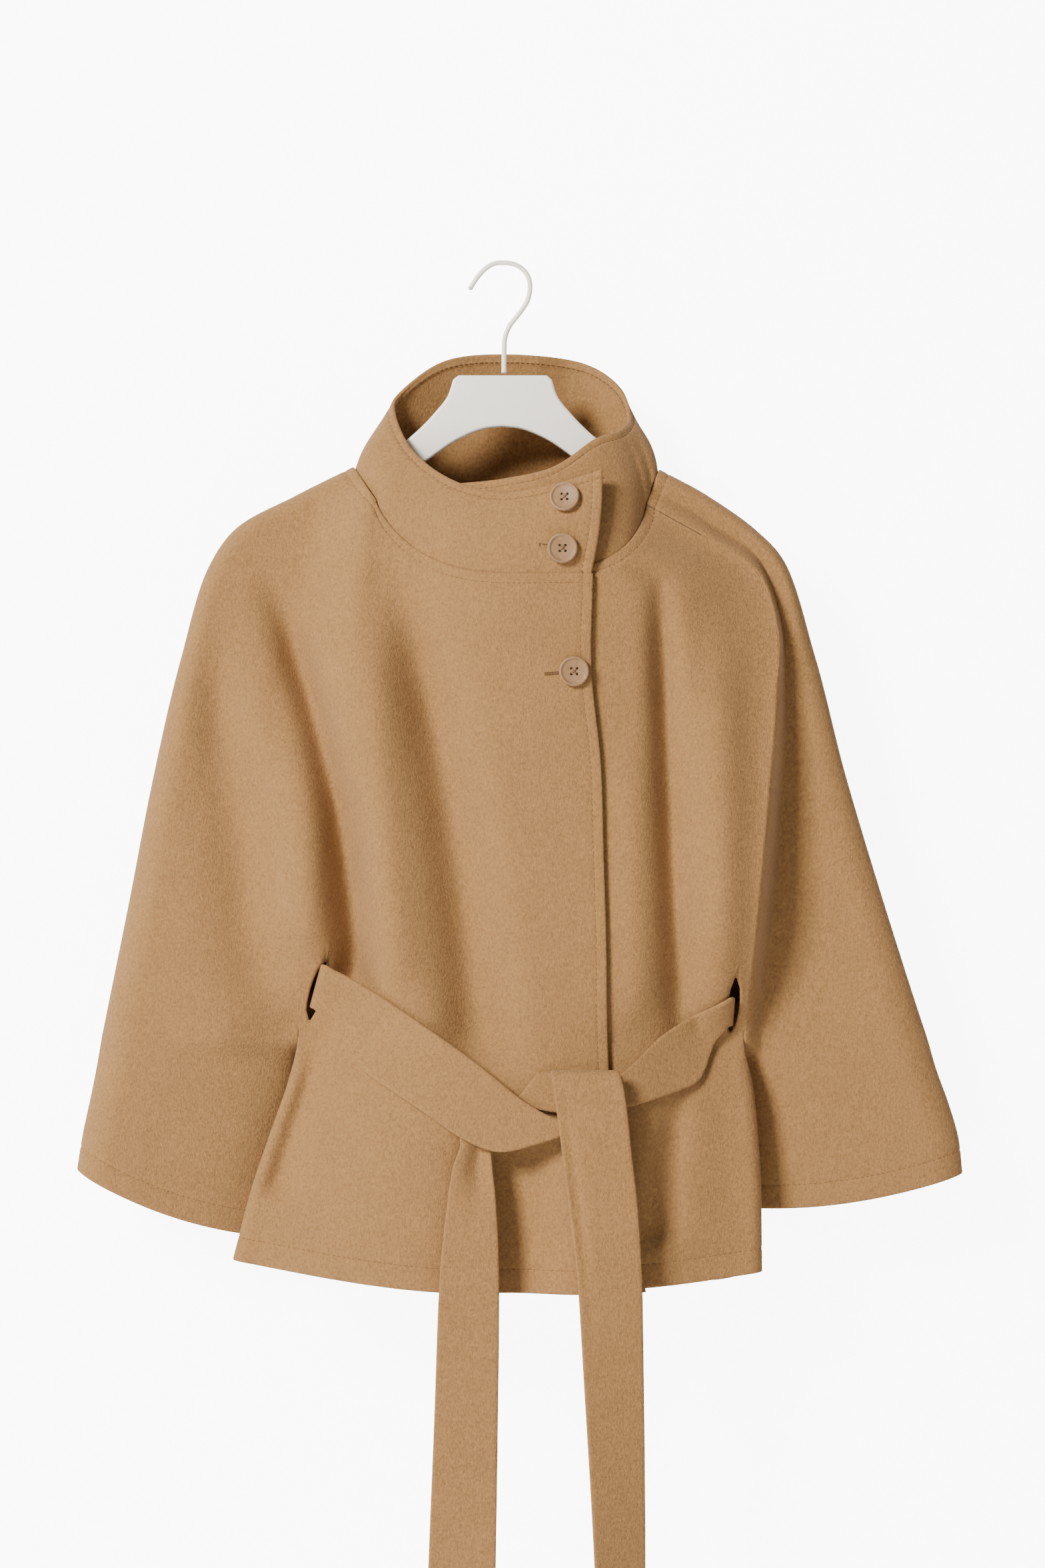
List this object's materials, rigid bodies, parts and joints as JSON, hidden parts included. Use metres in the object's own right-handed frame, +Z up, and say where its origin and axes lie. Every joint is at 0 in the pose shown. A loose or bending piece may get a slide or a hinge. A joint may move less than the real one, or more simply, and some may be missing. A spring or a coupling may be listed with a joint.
{
  "type": "belted cape coat on a hanger",
  "caption": "Wide-sleeved wool cape coat with a lapped funnel collar, buttons and a knotted tie belt, hanging on a moulded hanger with a wire hook.",
  "frame": {"origin": "underside of the hanger hook's arc, where a rail or peg carries it", "axes": "+Z up, +X the viewer's right as the coat is seen from the front, +Y away from the viewer; the front faces -Y"},
  "size_m": [0.6644, 0.1465, 1.0397],
  "materials": {
    "coat_cloth": "camel wool melton, brushed nap",
    "belt_cloth": "camel wool melton, brushed nap",
    "button": "satin horn-look resin",
    "hanger": "satin cream lacquer",
    "hook_wire": "cream painted wire"
  },
  "bodies": {
    "root": {"front_over": "coat_cloth", "front_under": "coat_cloth", "back": "coat_cloth", "collar": "coat_cloth", "belt_left": "belt_cloth", "belt_right": "belt_cloth", "belt_inside": "belt_cloth", "belt_wrap": "belt_cloth", "belt_tail_left": "belt_cloth", "belt_tail_right": "belt_cloth", "button_collar_high": "button", "button_collar_low": "button", "button_front": "button", "hanger_body": "hanger", "hanger_hook": "hook_wire"}
  },
  "joints": []
}
